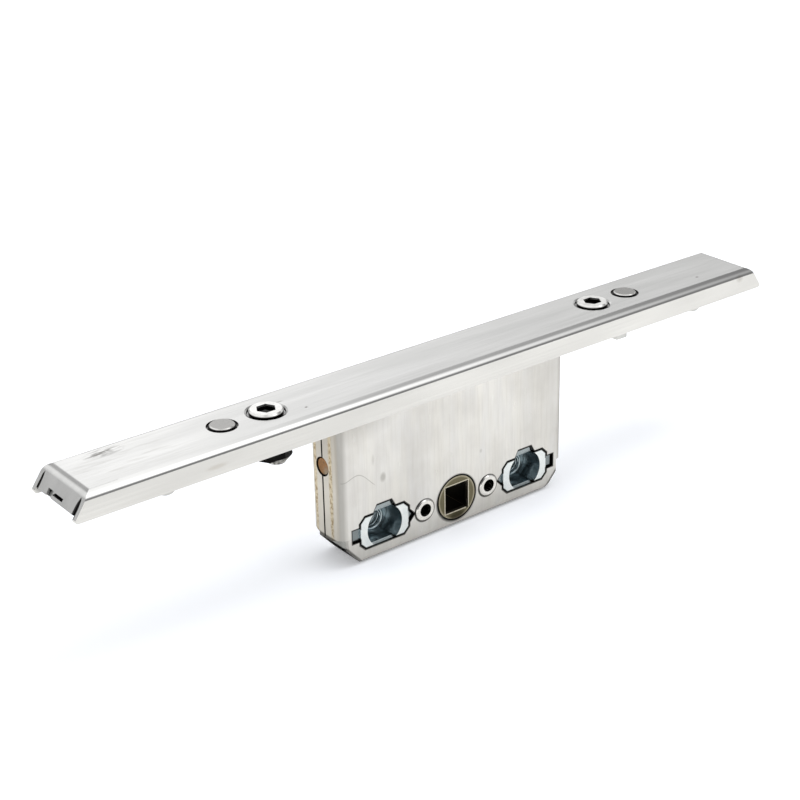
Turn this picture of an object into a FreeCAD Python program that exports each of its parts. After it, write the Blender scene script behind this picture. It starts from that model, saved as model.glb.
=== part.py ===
import FreeCAD, Part
import math
import os

# Window espagnolette gearbox, in millimetres.
# X runs along the faceplate, Y through the case from its front to its back, Z up.
# The origin is the middle of the underside of the case.

# Handle side, standard sizes
HANDLE_PITCH = 43.0
SPINDLE_AF = 7.0
BACKSET = 35.1
HANDLE_SCREW_TAP_R = 2.1
HANDLE_SCREW_CLEAR_R = 2.75

# Pressed sheet of the case and the faceplate
CASE_SHEET = 1.2
FACE_SHEET = 1.2
SPINDLE_RISE = 7.65

# Faceplate channel
FACE_LENGTH = 201.0
FACE_WIDTH = 18.4
FACE_HEIGHT = 5.85
FACE_END_RUN = 4.1
FACE_BEND_R = 2.0
FACE_END_BEND_R = 2.5
FLANGE_CORNER_R = 0.6
TAB_SIDE_GAP = 0.5
TAB_SHORT = 1.4
TAB_NOTCH_Y = 2.9
TAB_NOTCH_WIDTH = 2.0
TAB_NOTCH_HEIGHT = 1.3
TAB_SLOT_LENGTH = 4.2
TAB_SLOT_HEIGHT = 0.6
TAB_LIP_HEIGHT = 0.6
TAB_RECESS_DEPTH = 0.9

# Case
CASE_END_REACH = 12.2
CASE_THICKNESS = 11.4
CASE_BEND_R = 1.8
CASE_CORNER_RUN = 5.5
CASE_CORNER_RISE = 6.2
RELIEF_RISE = 1.2
RELIEF_DEPTH = 4.0
SEAM_Y = 0.9
SEAM_GAP = 0.3
LIP_WIDTH = 1.4

# Zinc inserts that the handle fits into
INSERT_BACK_GAP = 0.25
CAVITY_R = 5.0
CAVITY_DEPTH = 6.0
CAVITY_FLOOR = 3.9
BOSS_HALF_LENGTH = 6.9
BOSS_HALF_HEIGHT = 4.0
BOSS_CORNER = 1.4
NOTCH_HALF_TOP = 1.9
NOTCH_HALF_FOOT = 2.9
NOTCH_RISE = 5.8
NOTCH_TOP_DEPTH = 0.3
NOTCH_FOOT_DEPTH = 1.0
CAVITY_CEILING = 4.1
LUG_REACH_OUT = 9.0
LUG_REACH_IN = 8.4
LUG_HALF_HEIGHT = 1.6
LUG_DEPTH = 0.6
LUG_OUTER_HALF_HEIGHT = 1.35
INSERT_SHOULDER = 9.9
INSERT_FACE_GAP = 0.35
INSERT_CORNER_GAP = 0.1
INSERT_END_GAP = 0.1
INSERT_RIM = 0.15

# Follower, its toothed sector and the sleeve in its socket
JOURNAL_R = 5.5
JOURNAL_FIT = 0.05
FRONT_HOLE_GAP = 0.4
SLEEVE_WALL = 0.25
SLEEVE_FIT = 0.02
SLEEVE_SLIT = 0.6
TOOTH_MODULE = 1.0
PITCH_TEETH = 23
SECTOR_TEETH = 8
SECTOR_LEAD_TEETH = 1
PRESSURE_ANGLE = 20.0
BACKLASH = 0.12
SECTOR_THICKNESS = 3.6
SECTOR_SIDE_GAP = 0.5
SWEEP_GAP = 0.3
HUB_R = 6.0
BEARING_TOP_RISE = 9.9

# Hollow rivets beside the follower
RIVET_SHIFT = 0.2
RIVET_RIM_SHARE = 0.74
RIVET_BARREL_SHARE = 0.76
RIVET_HOLE_SHARE = 0.6
RIVET_RIM_HEIGHT = 0.35
RIVET_RIM_EDGE = 0.25
RIVET_FIT = 0.05

# Rack, drive bar and coupling pins
RACK_BACK = 3.6
RACK_LENGTH = 30.0
RACK_START = 6.0
RISER_LENGTH = 14.0
RISER_START = 3.0
TENON_LENGTH = 9.0
TENON_WIDTH = 2.6
TENON_FIT = 0.05
BAR_THICKNESS = 2.5
BAR_TOP_GAP = 0.5
BAR_SIDE_GAP = 0.2
BAR_WIDE = 14.0
BAR_END_LEFT = 77.2
BAR_END_WALL = 4.8
BAR_CORNER_R = 3.0
BAR_CASE_GAP = 0.5
SLOT_SIDE_GAP = 0.35
SLOT_END_GAP = 0.3
TRAVEL_ANGLE = 90.0
PIN_LEFT_X = 74.4
PIN_R = 1.9
PIN_LENGTH = 6.7
PIN_TENON_R = 1.5
PIN_EDGE = 0.4
PIN_CLEARANCE = 0.4

# Stop pins at the case ends
STOP_PIN_R = 1.95
STOP_PIN_RISE = 16.6
STOP_GAP = 0.35
STOP_HOLE_GAP = 0.4
STOP_PIN_SINK = 0.25
STOP_WALL = 2.0

# Clamp screws and guide posts in the faceplate
SCREW_OFFSET = 48.4
POST_OFFSET = 59.6
SCREW_HEAD_R = 3.8
SCREW_HEAD_HEIGHT = 1.2
SCREW_HEAD_EDGE = 0.3
SCREW_SHANK_R = 2.45
SCREW_HOLE_GAP = 0.25
SCREW_SOCKET_AF = 4.0
SCREW_SOCKET_DEPTH = 0.95
SCREW_TIP_Z = 26.3
RECESS_R = 4.35
RECESS_DEPTH = 0.5
DISH_WIDTH = 0.4
DISH_DEPTH = 0.2
POST_HEAD_R = 3.1
POST_HEAD_HEIGHT = 0.85
POST_HEAD_EDGE = 0.55
POST_RECESS_R = 3.5
POST_RECESS_DEPTH = 0.4
POST_SHANK_R = 2.4
POST_FIT = 0.05
POST_TIP_Z = 25.6

# Clamps: a plate that rides on screw and post, and the nut under it
CLAMP_WIDTH = 9.0
CLAMP_THICKNESS = 1.8
CLAMP_LEFT_TOP = 28.4
CLAMP_RIGHT_TOP = 30.1
CLAMP_POST_GAP = 0.3
NUT_AF = 7.0
NUT_HEIGHT = 2.1
NUT_THREAD_FIT = 0.05
CLAMP_SCREW_GAP = 0.3
FOOT_OFFSET = 2.0
FOOT_TOP_R = 3.6
FOOT_TIP_R = 2.0
FOOT_HEIGHT = 2.0
LUG_X = 54.6
LUG_LENGTH = 3.4
LUG_DROP = 2.8

# Pegs cast on the inserts, riveted over the rear shell
PEG_R = 1.5
PEG_HEAD_R = 2.4
PEG_HEAD_HEIGHT = 0.4
PEG_FIT = 0.05
PEG_INSET = 5.0
PEG_DROP = 5.2

# Places worked out from the sizes above
HANDLE_X = HANDLE_PITCH / 2
HALF_CASE = HANDLE_X + CASE_END_REACH
HALF_THICK = CASE_THICKNESS / 2
FRONT_Y = -HALF_THICK
REAR_Y = HALF_THICK
FRONT_IN_Y = FRONT_Y + CASE_SHEET
REAR_IN_Y = REAR_Y - CASE_SHEET
WINDOW_INNER = HANDLE_X - LUG_REACH_IN
RIVET_ROOM = WINDOW_INNER - JOURNAL_R - FRONT_HOLE_GAP
RIVET_OFFSET = WINDOW_INNER - RIVET_ROOM / 2 + RIVET_SHIFT
RIVET_RIM_R = RIVET_ROOM / 2 * RIVET_RIM_SHARE
RIVET_BARREL_R = RIVET_RIM_R * RIVET_BARREL_SHARE
RIVET_HOLE_R = RIVET_RIM_R * RIVET_HOLE_SHARE
HALF_FOOT = HALF_CASE - CASE_CORNER_RUN
CASE_INNER_END = HALF_CASE - CASE_SHEET
FACE_TOP = SPINDLE_RISE + BACKSET
FACE_UNDER = FACE_TOP - FACE_SHEET
FLANGE_LOW = FACE_TOP - FACE_HEIGHT
BAR_TOP = FACE_UNDER - BAR_TOP_GAP
BAR_LOW = BAR_TOP - BAR_THICKNESS
CASE_FLANGE_TOP = BAR_LOW - BAR_TOP_GAP
PITCH_R = TOOTH_MODULE * PITCH_TEETH / 2
TIP_R = PITCH_R + TOOTH_MODULE
DEDENDUM = 1.25 * TOOTH_MODULE
ROOT_R = PITCH_R - DEDENDUM
TRAVEL = PITCH_R * math.radians(TRAVEL_ANGLE)
PITCH_STEP = math.pi * TOOTH_MODULE
RACK_Z = SPINDLE_RISE + PITCH_R
INSERT_INNER = WINDOW_INNER - INSERT_RIM
INSERT_OUTER = CASE_INNER_END - INSERT_END_GAP
SECTOR_Y1 = REAR_IN_Y - SECTOR_SIDE_GAP
SECTOR_Y0 = SECTOR_Y1 - SECTOR_THICKNESS
BEARING_BACK_Y = SECTOR_Y0 - SECTOR_SIDE_GAP
PIN_RIGHT_X = POST_OFFSET + CLAMP_WIDTH / 2 + TRAVEL + PIN_R + PIN_CLEARANCE
BAR_END_RIGHT = PIN_RIGHT_X + BAR_END_WALL
STOP_X = RACK_LENGTH - RACK_START + STOP_GAP
STOP_Z = SPINDLE_RISE + STOP_PIN_RISE
PEG_X = HALF_CASE - PEG_INSET
PEG_Z = STOP_Z - PEG_DROP


# Basic forms

MITRED = 2

def vec(x, y, z):
    return FreeCAD.Vector(x, y, z)


def box(x0, x1, y0, y1, z0, z1):
    return Part.makeBox(x1 - x0, y1 - y0, z1 - z0, vec(x0, y0, z0))


def rod_x(y, z, radius, x0, x1):
    return Part.makeCylinder(radius, x1 - x0, vec(x0, y, z), vec(1, 0, 0))


def rod_y(x, z, radius, y0, y1):
    return Part.makeCylinder(radius, y1 - y0, vec(x, y0, z), vec(0, 1, 0))


def rod_z(x, y, radius, z0, z1):
    return Part.makeCylinder(radius, z1 - z0, vec(x, y, z0), vec(0, 0, 1))


def cone_z(x, y, low_radius, high_radius, z0, z1):
    return Part.makeCone(low_radius, high_radius, z1 - z0, vec(x, y, z0), vec(0, 0, 1))


def join(shapes):
    whole = shapes[0]
    for shape in shapes[1:]:
        whole = whole.fuse(shape)
    return whole.removeSplitter()


def mirror_x(shape):
    return shape.mirror(vec(0, 0, 0), vec(1, 0, 0))


def mirror_y(shape):
    return shape.mirror(vec(0, 0, 0), vec(0, 1, 0))


# Closed outline of straight runs, with an arc of the given radius at each corner
def rounded_wire(points, radii, place):
    count = len(points)
    ends = []
    for i in range(count):
        before = points[i - 1]
        here = points[i]
        after = points[(i + 1) % count]
        ends.append(corner_arc(before, here, after, radii[i]))
    edges = []
    for i in range(count):
        start, middle, end = ends[i]
        following = ends[(i + 1) % count][0]
        if middle is not None:
            edges.append(Part.Arc(place(*start), place(*middle), place(*end)).toShape())
        if math.dist(end, following) > 1e-6:
            edges.append(Part.LineSegment(place(*end), place(*following)).toShape())
    return Part.Wire(edges)


# Start, middle and end of the arc that rounds one corner
def corner_arc(before, here, after, radius):
    if radius <= 0:
        return here, None, here
    back = unit(before[0] - here[0], before[1] - here[1])
    ahead = unit(after[0] - here[0], after[1] - here[1])
    half = math.acos(max(-1.0, min(1.0, back[0] * ahead[0] + back[1] * ahead[1]))) / 2
    reach = radius / math.tan(half)
    inward = unit(back[0] + ahead[0], back[1] + ahead[1])
    near = radius / math.sin(half) - radius
    start = (here[0] + back[0] * reach, here[1] + back[1] * reach)
    middle = (here[0] + inward[0] * near, here[1] + inward[1] * near)
    end = (here[0] + ahead[0] * reach, here[1] + ahead[1] * reach)
    return start, middle, end


def unit(u, v):
    length = math.hypot(u, v)
    return u / length, v / length


def prism(points, radii, place, direction):
    if not isinstance(radii, (list, tuple)):
        radii = [radii] * len(points)
    return Part.Face(rounded_wire(points, radii, place)).extrude(direction)


# Prisms along X from (y, z) points, along Y from (x, z) points, along Z from (x, y) points
def prism_x(points, radii, x0, x1):
    return prism(points, radii, lambda y, z: vec(x0, y, z), vec(x1 - x0, 0, 0))


def prism_y(points, radii, y0, y1):
    return prism(points, radii, lambda x, z: vec(x, y0, z), vec(0, y1 - y0, 0))


def prism_z(points, radii, z0, z1):
    return prism(points, radii, lambda x, y: vec(x, y, z0), vec(0, 0, z1 - z0))


# Obround bar along X between two centres
def obround_z(x0, x1, radius, z0, z1):
    middle = box(x0, x1, -radius, radius, z0, z1)
    return join([middle, rod_z(x0, 0, radius, z0, z1), rod_z(x1, 0, radius, z0, z1)])


# Section of a bent sheet: its outer path, with the thickness on the left of the path
def sheet_section(path, bend_radius, thickness):
    outer_radii = [0.0]
    inner = [offset_point(path[0], path[0], path[1], thickness)]
    inner_radii = [0.0]
    for i in range(1, len(path) - 1):
        before, here, after = path[i - 1], path[i], path[i + 1]
        turn = (here[0] - before[0]) * (after[1] - here[1]) - (here[1] - before[1]) * (after[0] - here[0])
        inner.append(offset_corner(before, here, after, thickness))
        outer_radii.append(bend_radius if turn > 0 else bend_radius - thickness)
        inner_radii.append(bend_radius - thickness if turn > 0 else bend_radius)
    inner.append(offset_point(path[-1], path[-2], path[-1], thickness))
    outer_radii.append(0.0)
    inner_radii.append(0.0)
    return list(path) + inner[::-1], outer_radii + inner_radii[::-1]


def offset_point(point, start, end, distance):
    along = unit(end[0] - start[0], end[1] - start[1])
    return point[0] - along[1] * distance, point[1] + along[0] * distance


def offset_corner(before, here, after, distance):
    into = unit(here[0] - before[0], here[1] - before[1])
    away = unit(after[0] - here[0], after[1] - here[1])
    half = (into[0] * away[0] + into[1] * away[1] + 1) / 2
    normal = (-(into[1] + away[1]) / 2, (into[0] + away[0]) / 2)
    return here[0] + normal[0] * distance / half, here[1] + normal[1] * distance / half


# Faceplate: a channel with slanted ends, each closed by a folded tab
def faceplate():
    half_low = FACE_LENGTH / 2
    half_top = half_low - FACE_END_RUN
    side = FACE_WIDTH / 2
    path = [(side, FLANGE_LOW), (side, FACE_TOP), (-side, FACE_TOP), (-side, FLANGE_LOW)]
    section, radii = sheet_section(path, FACE_BEND_R, FACE_SHEET)
    channel = prism_x(section, radii, -half_low, half_low)
    side_view = [(-half_low, FLANGE_LOW), (half_low, FLANGE_LOW),
                 (half_top, FACE_TOP), (-half_top, FACE_TOP)]
    corner_radii = [FLANGE_CORNER_R, FLANGE_CORNER_R, FACE_END_BEND_R, FACE_END_BEND_R]
    plate = channel.common(prism_y(side_view, corner_radii, -side, side))
    plate = join([plate, end_tab(-1), end_tab(1)])
    for place in (-SCREW_OFFSET, SCREW_OFFSET):
        plate = plate.cut(rod_z(place, 0, RECESS_R, FACE_TOP - RECESS_DEPTH, FACE_TOP + 1))
        plate = plate.cut(cone_z(place, 0, RECESS_R, RECESS_R + DISH_WIDTH, FACE_TOP - DISH_DEPTH, FACE_TOP))
        plate = plate.cut(rod_z(place, 0, SCREW_SHANK_R + SCREW_HOLE_GAP, FACE_UNDER - 1, FACE_TOP))
    for place in (-POST_OFFSET, POST_OFFSET):
        plate = plate.cut(rod_z(place, 0, POST_RECESS_R, FACE_TOP - POST_RECESS_DEPTH, FACE_TOP + 1))
        plate = plate.cut(rod_z(place, 0, POST_SHANK_R + POST_FIT, FACE_UNDER - 1, FACE_TOP))
    return plate


# End tab: the web folded down along the slant, with a notch and a slot at its lower edge
def end_tab(side):
    half_low = FACE_LENGTH / 2
    half_top = half_low - FACE_END_RUN
    low = FLANGE_LOW + TAB_SHORT
    low_x = half_low - FACE_END_RUN * TAB_SHORT / FACE_HEIGHT
    root = half_top - 3 * FACE_END_BEND_R
    section, radii = sheet_section([(low_x, low), (half_top, FACE_TOP), (root, FACE_TOP)],
                                   FACE_END_BEND_R, FACE_SHEET)
    half_width = FACE_WIDTH / 2 - FACE_SHEET - TAB_SIDE_GAP
    tab = prism_y(section, radii, -half_width, half_width)
    notch_low = TAB_NOTCH_Y - TAB_NOTCH_WIDTH / 2
    notch_high = TAB_NOTCH_Y + TAB_NOTCH_WIDTH / 2
    slot_low = low + TAB_LIP_HEIGHT
    tab = tab.cut(tab_recess(notch_low, notch_high, low - 1, low + TAB_NOTCH_HEIGHT))
    tab = tab.cut(tab_recess(notch_low - TAB_SLOT_LENGTH, notch_low, slot_low, slot_low + TAB_SLOT_HEIGHT))
    return tab if side > 0 else mirror_x(tab)


# Cutter for a recess that is sunk into the outside of the right end tab
def tab_recess(y0, y1, z0, z1):
    slant = FACE_END_RUN / FACE_HEIGHT
    face = [(FACE_LENGTH / 2 - slant * (z - FLANGE_LOW), z) for z in (z0, z1)]
    outside = [(x + 1, z) for x, z in face]
    inside = [(x - TAB_RECESS_DEPTH, z) for x, z in face]
    return prism_y(outside + inside[::-1], 0, y0, y1)


# Pressed shell of the case, drawn as the front one: face, bottom, ends and top lip
def shell(face_y, open_y):
    pieces = [shell_face(face_y), shell_bottom(face_y, open_y), shell_lip(face_y)]
    end = shell_end(face_y, open_y)
    pieces.extend([end, mirror_x(end)])
    return join(pieces)


def shell_face(face_y):
    flat = HALF_CASE - CASE_BEND_R
    right = [(corner_x(CASE_BEND_R), CASE_BEND_R), (flat, corner_z(flat)), (flat, FACE_UNDER - CASE_BEND_R)]
    left = [(-x, z) for x, z in reversed(right)]
    return prism_y(right + left, 0, face_y, face_y + CASE_SHEET)


# The case's lower corners are cut off along a slant
def corner_x(z):
    return HALF_FOOT + z * CASE_CORNER_RUN / CASE_CORNER_RISE


def corner_z(x):
    return (x - HALF_FOOT) * CASE_CORNER_RISE / CASE_CORNER_RUN


def shell_bottom(face_y, open_y):
    path = [(open_y, 0), (face_y, 0), (face_y, 2 * CASE_BEND_R)]
    section, radii = sheet_section(path[::-1], CASE_BEND_R, CASE_SHEET)
    end = corner_x(CASE_BEND_R)
    below_slant = [(HALF_FOOT, -1), (HALF_FOOT, 0), (end + 1, corner_z(end + 1)), (end + 1, -1)]
    corner = prism_y(below_slant, 0, face_y - 1, open_y + 1)
    return prism_x(section, radii, -end, end).cut(corner).cut(mirror_x(corner))


def shell_lip(face_y):
    flat = HALF_CASE - CASE_BEND_R
    inner_y = face_y + CASE_SHEET
    path = [(inner_y, FACE_UNDER - 3 * CASE_BEND_R), (inner_y, FACE_UNDER), (face_y - LIP_WIDTH, FACE_UNDER)]
    section, radii = sheet_section(path, CASE_BEND_R, CASE_SHEET)
    return prism_x(section, radii, -flat, flat)


def shell_end(face_y, open_y):
    path = [(HALF_CASE - 2 * CASE_BEND_R, face_y), (HALF_CASE, face_y), (HALF_CASE, open_y)]
    section, radii = sheet_section(path, CASE_BEND_R, CASE_SHEET)
    flange = prism_z(section, radii, CASE_CORNER_RISE, CASE_FLANGE_TOP)
    relief_top = CASE_CORNER_RISE + RELIEF_RISE
    relief = [(face_y - 1, 0), (face_y - 1, relief_top), (face_y + CASE_SHEET, relief_top),
              (face_y + RELIEF_DEPTH, CASE_CORNER_RISE), (face_y + RELIEF_DEPTH, 0)]
    return flange.cut(prism_x(relief, 0, 0, HALF_CASE + 1))


def stop_pin_holes():
    radius = STOP_PIN_R + STOP_HOLE_GAP
    return rod_x(SEAM_Y, STOP_Z, radius, -HALF_CASE - 1, HALF_CASE + 1)


def front_case():
    case = shell(FRONT_Y, SEAM_Y - SEAM_GAP / 2)
    case = case.cut(rod_y(0, SPINDLE_RISE, JOURNAL_R + FRONT_HOLE_GAP, FRONT_Y - 1, FRONT_IN_Y + 1))
    window = boss_outline(INSERT_FACE_GAP, FRONT_Y - 1, FRONT_IN_Y + 0.5)
    case = case.cut(window).cut(mirror_x(window))
    for place in (-RIVET_OFFSET, RIVET_OFFSET):
        case = case.cut(rod_y(place, SPINDLE_RISE, RIVET_BARREL_R + RIVET_FIT, FRONT_Y - 1, FRONT_IN_Y + 1))
    return case.cut(stop_pin_holes())


def rear_case():
    case = mirror_y(shell(-REAR_Y, -SEAM_Y - SEAM_GAP / 2))
    case = case.cut(rod_y(0, SPINDLE_RISE, JOURNAL_R + JOURNAL_FIT, REAR_IN_Y - 1, REAR_Y + 1))
    for place in (-HANDLE_X, HANDLE_X):
        case = case.cut(rod_y(place, SPINDLE_RISE, HANDLE_SCREW_CLEAR_R, REAR_IN_Y - 1, REAR_Y + 1))
    hole = rod_y(PEG_X, PEG_Z, PEG_R + PEG_FIT, REAR_IN_Y - 1, REAR_Y + 1)
    return case.cut(hole).cut(mirror_x(hole)).cut(stop_pin_holes())


# Outline of the insert's raised face on the right, grown by a gap, between two depths
def boss_outline(grow, y0, y1):
    top = BOSS_HALF_HEIGHT
    low = -CAVITY_FLOOR
    side = BOSS_HALF_LENGTH
    lug = LUG_HALF_HEIGHT
    points = [(side, lug), (side, top - BOSS_CORNER), (side - BOSS_CORNER, top), (NOTCH_HALF_FOOT, top),
              (NOTCH_HALF_TOP, NOTCH_RISE), (-NOTCH_HALF_TOP, NOTCH_RISE), (-NOTCH_HALF_FOOT, top),
              (BOSS_CORNER - side, top), (-side, top - BOSS_CORNER), (-side, lug),
              (-LUG_REACH_IN, 0), (-side, -lug), (-side, low + BOSS_CORNER), (BOSS_CORNER - side, low),
              (side - BOSS_CORNER, low), (side, low + BOSS_CORNER), (side, -lug),
              (LUG_REACH_OUT, -LUG_OUTER_HALF_HEIGHT), (LUG_REACH_OUT, LUG_OUTER_HALF_HEIGHT)]
    wire = rounded_wire(points, [0] * len(points), lambda x, z: vec(HANDLE_X + x, y0, SPINDLE_RISE + z))
    if grow > 0:
        wire = wire.makeOffset2D(grow, MITRED)
    return Part.Face(wire).extrude(vec(0, y1 - y0, 0))


# Zinc insert on the right: body between the shells, raised face, cavity and tapped hole
def handle_insert():
    low = CASE_SHEET
    shoulder = SPINDLE_RISE + INSERT_SHOULDER
    upright_top = STOP_Z + STOP_PIN_R + STOP_WALL
    corner_top = CASE_CORNER_RISE - CASE_SHEET
    side_view = [(INSERT_INNER, low), (HALF_FOOT - CASE_SHEET, low), (INSERT_OUTER, corner_top),
                 (INSERT_OUTER, upright_top), (STOP_X, upright_top), (STOP_X, shoulder),
                 (INSERT_INNER, shoulder)]
    body = prism_y(side_view, 0, FRONT_IN_Y, REAR_IN_Y)
    body = body.common(inside_of_bends(upright_top))
    body = join([body, boss_outline(0, FRONT_Y, FRONT_IN_Y)])
    body = body.cut(cavity()).cut(lug_recess())
    body = body.cut(rod_y(0, SPINDLE_RISE, TIP_R + SWEEP_GAP, BEARING_BACK_Y, REAR_IN_Y + 1))
    body = body.cut(rod_y(HANDLE_X, SPINDLE_RISE, HANDLE_SCREW_TAP_R, FRONT_IN_Y, REAR_IN_Y + 1))
    body = body.cut(rod_x(SEAM_Y, STOP_Z, STOP_PIN_R, STOP_X - 1, HALF_CASE))
    return join([body, peg()])


# Space inside the bends of the shells: corners cut off where the sheet turns
def inside_of_bends(top):
    corner = CASE_BEND_R - CASE_SHEET + INSERT_CORNER_GAP
    plan = [(0, FRONT_IN_Y), (INSERT_OUTER - corner, FRONT_IN_Y), (INSERT_OUTER, FRONT_IN_Y + corner),
            (INSERT_OUTER, REAR_IN_Y - corner), (INSERT_OUTER - corner, REAR_IN_Y), (0, REAR_IN_Y)]
    end_view = [(FRONT_IN_Y, top), (FRONT_IN_Y, CASE_SHEET + corner), (FRONT_IN_Y + corner, CASE_SHEET),
                (REAR_IN_Y - corner, CASE_SHEET), (REAR_IN_Y, CASE_SHEET + corner), (REAR_IN_Y, top)]
    return prism_z(plan, 0, 0, top).common(prism_x(end_view, 0, 0, HALF_CASE))


# Round cavity with a flat floor and ceiling, and the sunk slope of the notch above it
def cavity():
    floor = SPINDLE_RISE - CAVITY_FLOOR
    ceiling = SPINDLE_RISE + CAVITY_CEILING
    back = FRONT_Y + CAVITY_DEPTH
    round_part = rod_y(HANDLE_X, SPINDLE_RISE, CAVITY_R, FRONT_Y - 1, back)
    flats = box(HANDLE_X - CAVITY_R, HANDLE_X + CAVITY_R, FRONT_Y - 1, back, floor, ceiling)
    top = SPINDLE_RISE + NOTCH_RISE
    slope = [(FRONT_Y - 1, top), (FRONT_Y + NOTCH_TOP_DEPTH, top),
             (FRONT_Y + NOTCH_FOOT_DEPTH, ceiling), (FRONT_Y - 1, ceiling)]
    notch = prism_x(slope, 0, HANDLE_X - NOTCH_HALF_FOOT, HANDLE_X + NOTCH_HALF_FOOT)
    return round_part.common(flats).fuse(notch)


# The two side lugs lie a little below the raised face
def lug_recess():
    low = SPINDLE_RISE - LUG_HALF_HEIGHT
    high = SPINDLE_RISE + LUG_HALF_HEIGHT
    outer_edge = HANDLE_X + LUG_REACH_OUT + 1
    inner_edge = HANDLE_X - LUG_REACH_IN - 1
    depth = FRONT_Y + LUG_DEPTH
    outer = box(HANDLE_X + BOSS_HALF_LENGTH, outer_edge, FRONT_Y - 1, depth, low, high)
    inner = box(inner_edge, HANDLE_X - BOSS_HALF_LENGTH, FRONT_Y - 1, depth, low, high)
    return outer.fuse(inner)


def stop_pin():
    return rod_x(SEAM_Y, STOP_Z, STOP_PIN_R, STOP_X, HALF_CASE - STOP_PIN_SINK)


# Peg cast on the back of the right insert, its end spread over the rear shell
def peg():
    neck = rod_y(PEG_X, PEG_Z, PEG_R, REAR_IN_Y, REAR_Y)
    return join([neck, rod_y(PEG_X, PEG_Z, PEG_HEAD_R, REAR_Y, REAR_Y + PEG_HEAD_HEIGHT)])


# The round edge of a short cylinder that lies at one Y
def edge_at_y(shape, y):
    for edge in shape.Edges:
        if abs(edge.BoundBox.YMin - y) < 1e-6 and abs(edge.BoundBox.YMax - y) < 1e-6:
            return edge


def edge_at_z(shape, z):
    for edge in shape.Edges:
        if abs(edge.BoundBox.ZMin - z) < 1e-6 and abs(edge.BoundBox.ZMax - z) < 1e-6:
            return edge


# Zinc plate behind the front shell, which carries the follower
def bearing_plate():
    half = INSERT_INNER - INSERT_BACK_GAP
    plate = box(-half, half, FRONT_IN_Y, BEARING_BACK_Y, CASE_BEND_R, SPINDLE_RISE + BEARING_TOP_RISE)
    plate = plate.cut(rod_y(0, SPINDLE_RISE, JOURNAL_R + JOURNAL_FIT, FRONT_IN_Y - 1, BEARING_BACK_Y + 1))
    radius = RIVET_BARREL_R + RIVET_FIT
    for place in (-RIVET_OFFSET, RIVET_OFFSET):
        plate = plate.cut(rod_y(place, SPINDLE_RISE, radius, FRONT_IN_Y - 1, BEARING_BACK_Y + 1))
    return plate


def hollow_rivet(place):
    rim_y = FRONT_Y - RIVET_RIM_HEIGHT
    rim = rod_y(place, SPINDLE_RISE, RIVET_RIM_R, rim_y, FRONT_Y)
    rim = rim.makeChamfer(RIVET_RIM_EDGE, [edge_at_y(rim, rim_y)])
    barrel = rod_y(place, SPINDLE_RISE, RIVET_BARREL_R, FRONT_Y, BEARING_BACK_Y)
    return join([rim, barrel]).cut(rod_y(place, SPINDLE_RISE, RIVET_HOLE_R, rim_y - 1, BEARING_BACK_Y + 1))


# Follower: two journals, a hub and the toothed sector, with a square socket through it
def follower():
    front = rod_y(0, SPINDLE_RISE, JOURNAL_R, FRONT_Y, SECTOR_Y0)
    rear = rod_y(0, SPINDLE_RISE, JOURNAL_R, SECTOR_Y0, REAR_Y)
    hub = rod_y(0, SPINDLE_RISE, HUB_R, SECTOR_Y0, SECTOR_Y1)
    body = join([front, rear, hub, toothed_sector()])
    half = SPINDLE_AF / 2 + SLEEVE_WALL + SLEEVE_FIT
    return body.cut(box(-half, half, FRONT_Y - 1, REAR_Y + 1, SPINDLE_RISE - half, SPINDLE_RISE + half))


def tooth_angle(index):
    return 2 * math.pi * index / PITCH_TEETH


# Point at a radius and an angle measured from the top towards +X
def polar(radius, angle):
    return radius * math.sin(angle), SPINDLE_RISE + radius * math.cos(angle)


# Involute tooth: half its angle at a radius
def tooth_half_angle(radius):
    base = PITCH_R * math.cos(math.radians(PRESSURE_ANGLE))
    pressure = math.radians(PRESSURE_ANGLE)
    at_radius = math.acos(min(1.0, base / radius))
    grown = (math.tan(pressure) - pressure) - (math.tan(at_radius) - at_radius)
    return math.pi / (2 * PITCH_TEETH) + grown - BACKLASH / (4 * PITCH_R)


def involute_tooth(index):
    centre = tooth_angle(index)
    base = PITCH_R * math.cos(math.radians(PRESSURE_ANGLE))
    steps = 3
    radii = [base + (TIP_R - base) * i / steps for i in range(steps + 1)]
    foot = ROOT_R - TOOTH_MODULE / 2
    points = [polar(foot, centre - tooth_half_angle(base))]
    points.extend([polar(r, centre - tooth_half_angle(r)) for r in radii])
    points.extend([polar(r, centre + tooth_half_angle(r)) for r in reversed(radii)])
    points.append(polar(foot, centre + tooth_half_angle(base)))
    return prism_y(points, 0, SECTOR_Y0, SECTOR_Y1)


def toothed_sector():
    first = -SECTOR_LEAD_TEETH
    last = SECTOR_TEETH - 1 - SECTOR_LEAD_TEETH
    from_angle = tooth_angle(first - 0.5)
    to_angle = tooth_angle(last + 0.5)
    middle = (from_angle + to_angle) / 2
    arc_points = [vec(x, SECTOR_Y0, z) for x, z in
                  (polar(ROOT_R, from_angle), polar(ROOT_R, middle), polar(ROOT_R, to_angle))]
    hub_point = vec(0, SECTOR_Y0, SPINDLE_RISE)
    edges = [Part.Arc(*arc_points).toShape(), Part.LineSegment(arc_points[2], hub_point).toShape(),
             Part.LineSegment(hub_point, arc_points[0]).toShape()]
    wedge = Part.Face(Part.Wire(edges)).extrude(vec(0, SECTOR_THICKNESS, 0))
    teeth = [involute_tooth(index) for index in range(first, last + 1)]
    return join([wedge] + teeth)


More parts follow.
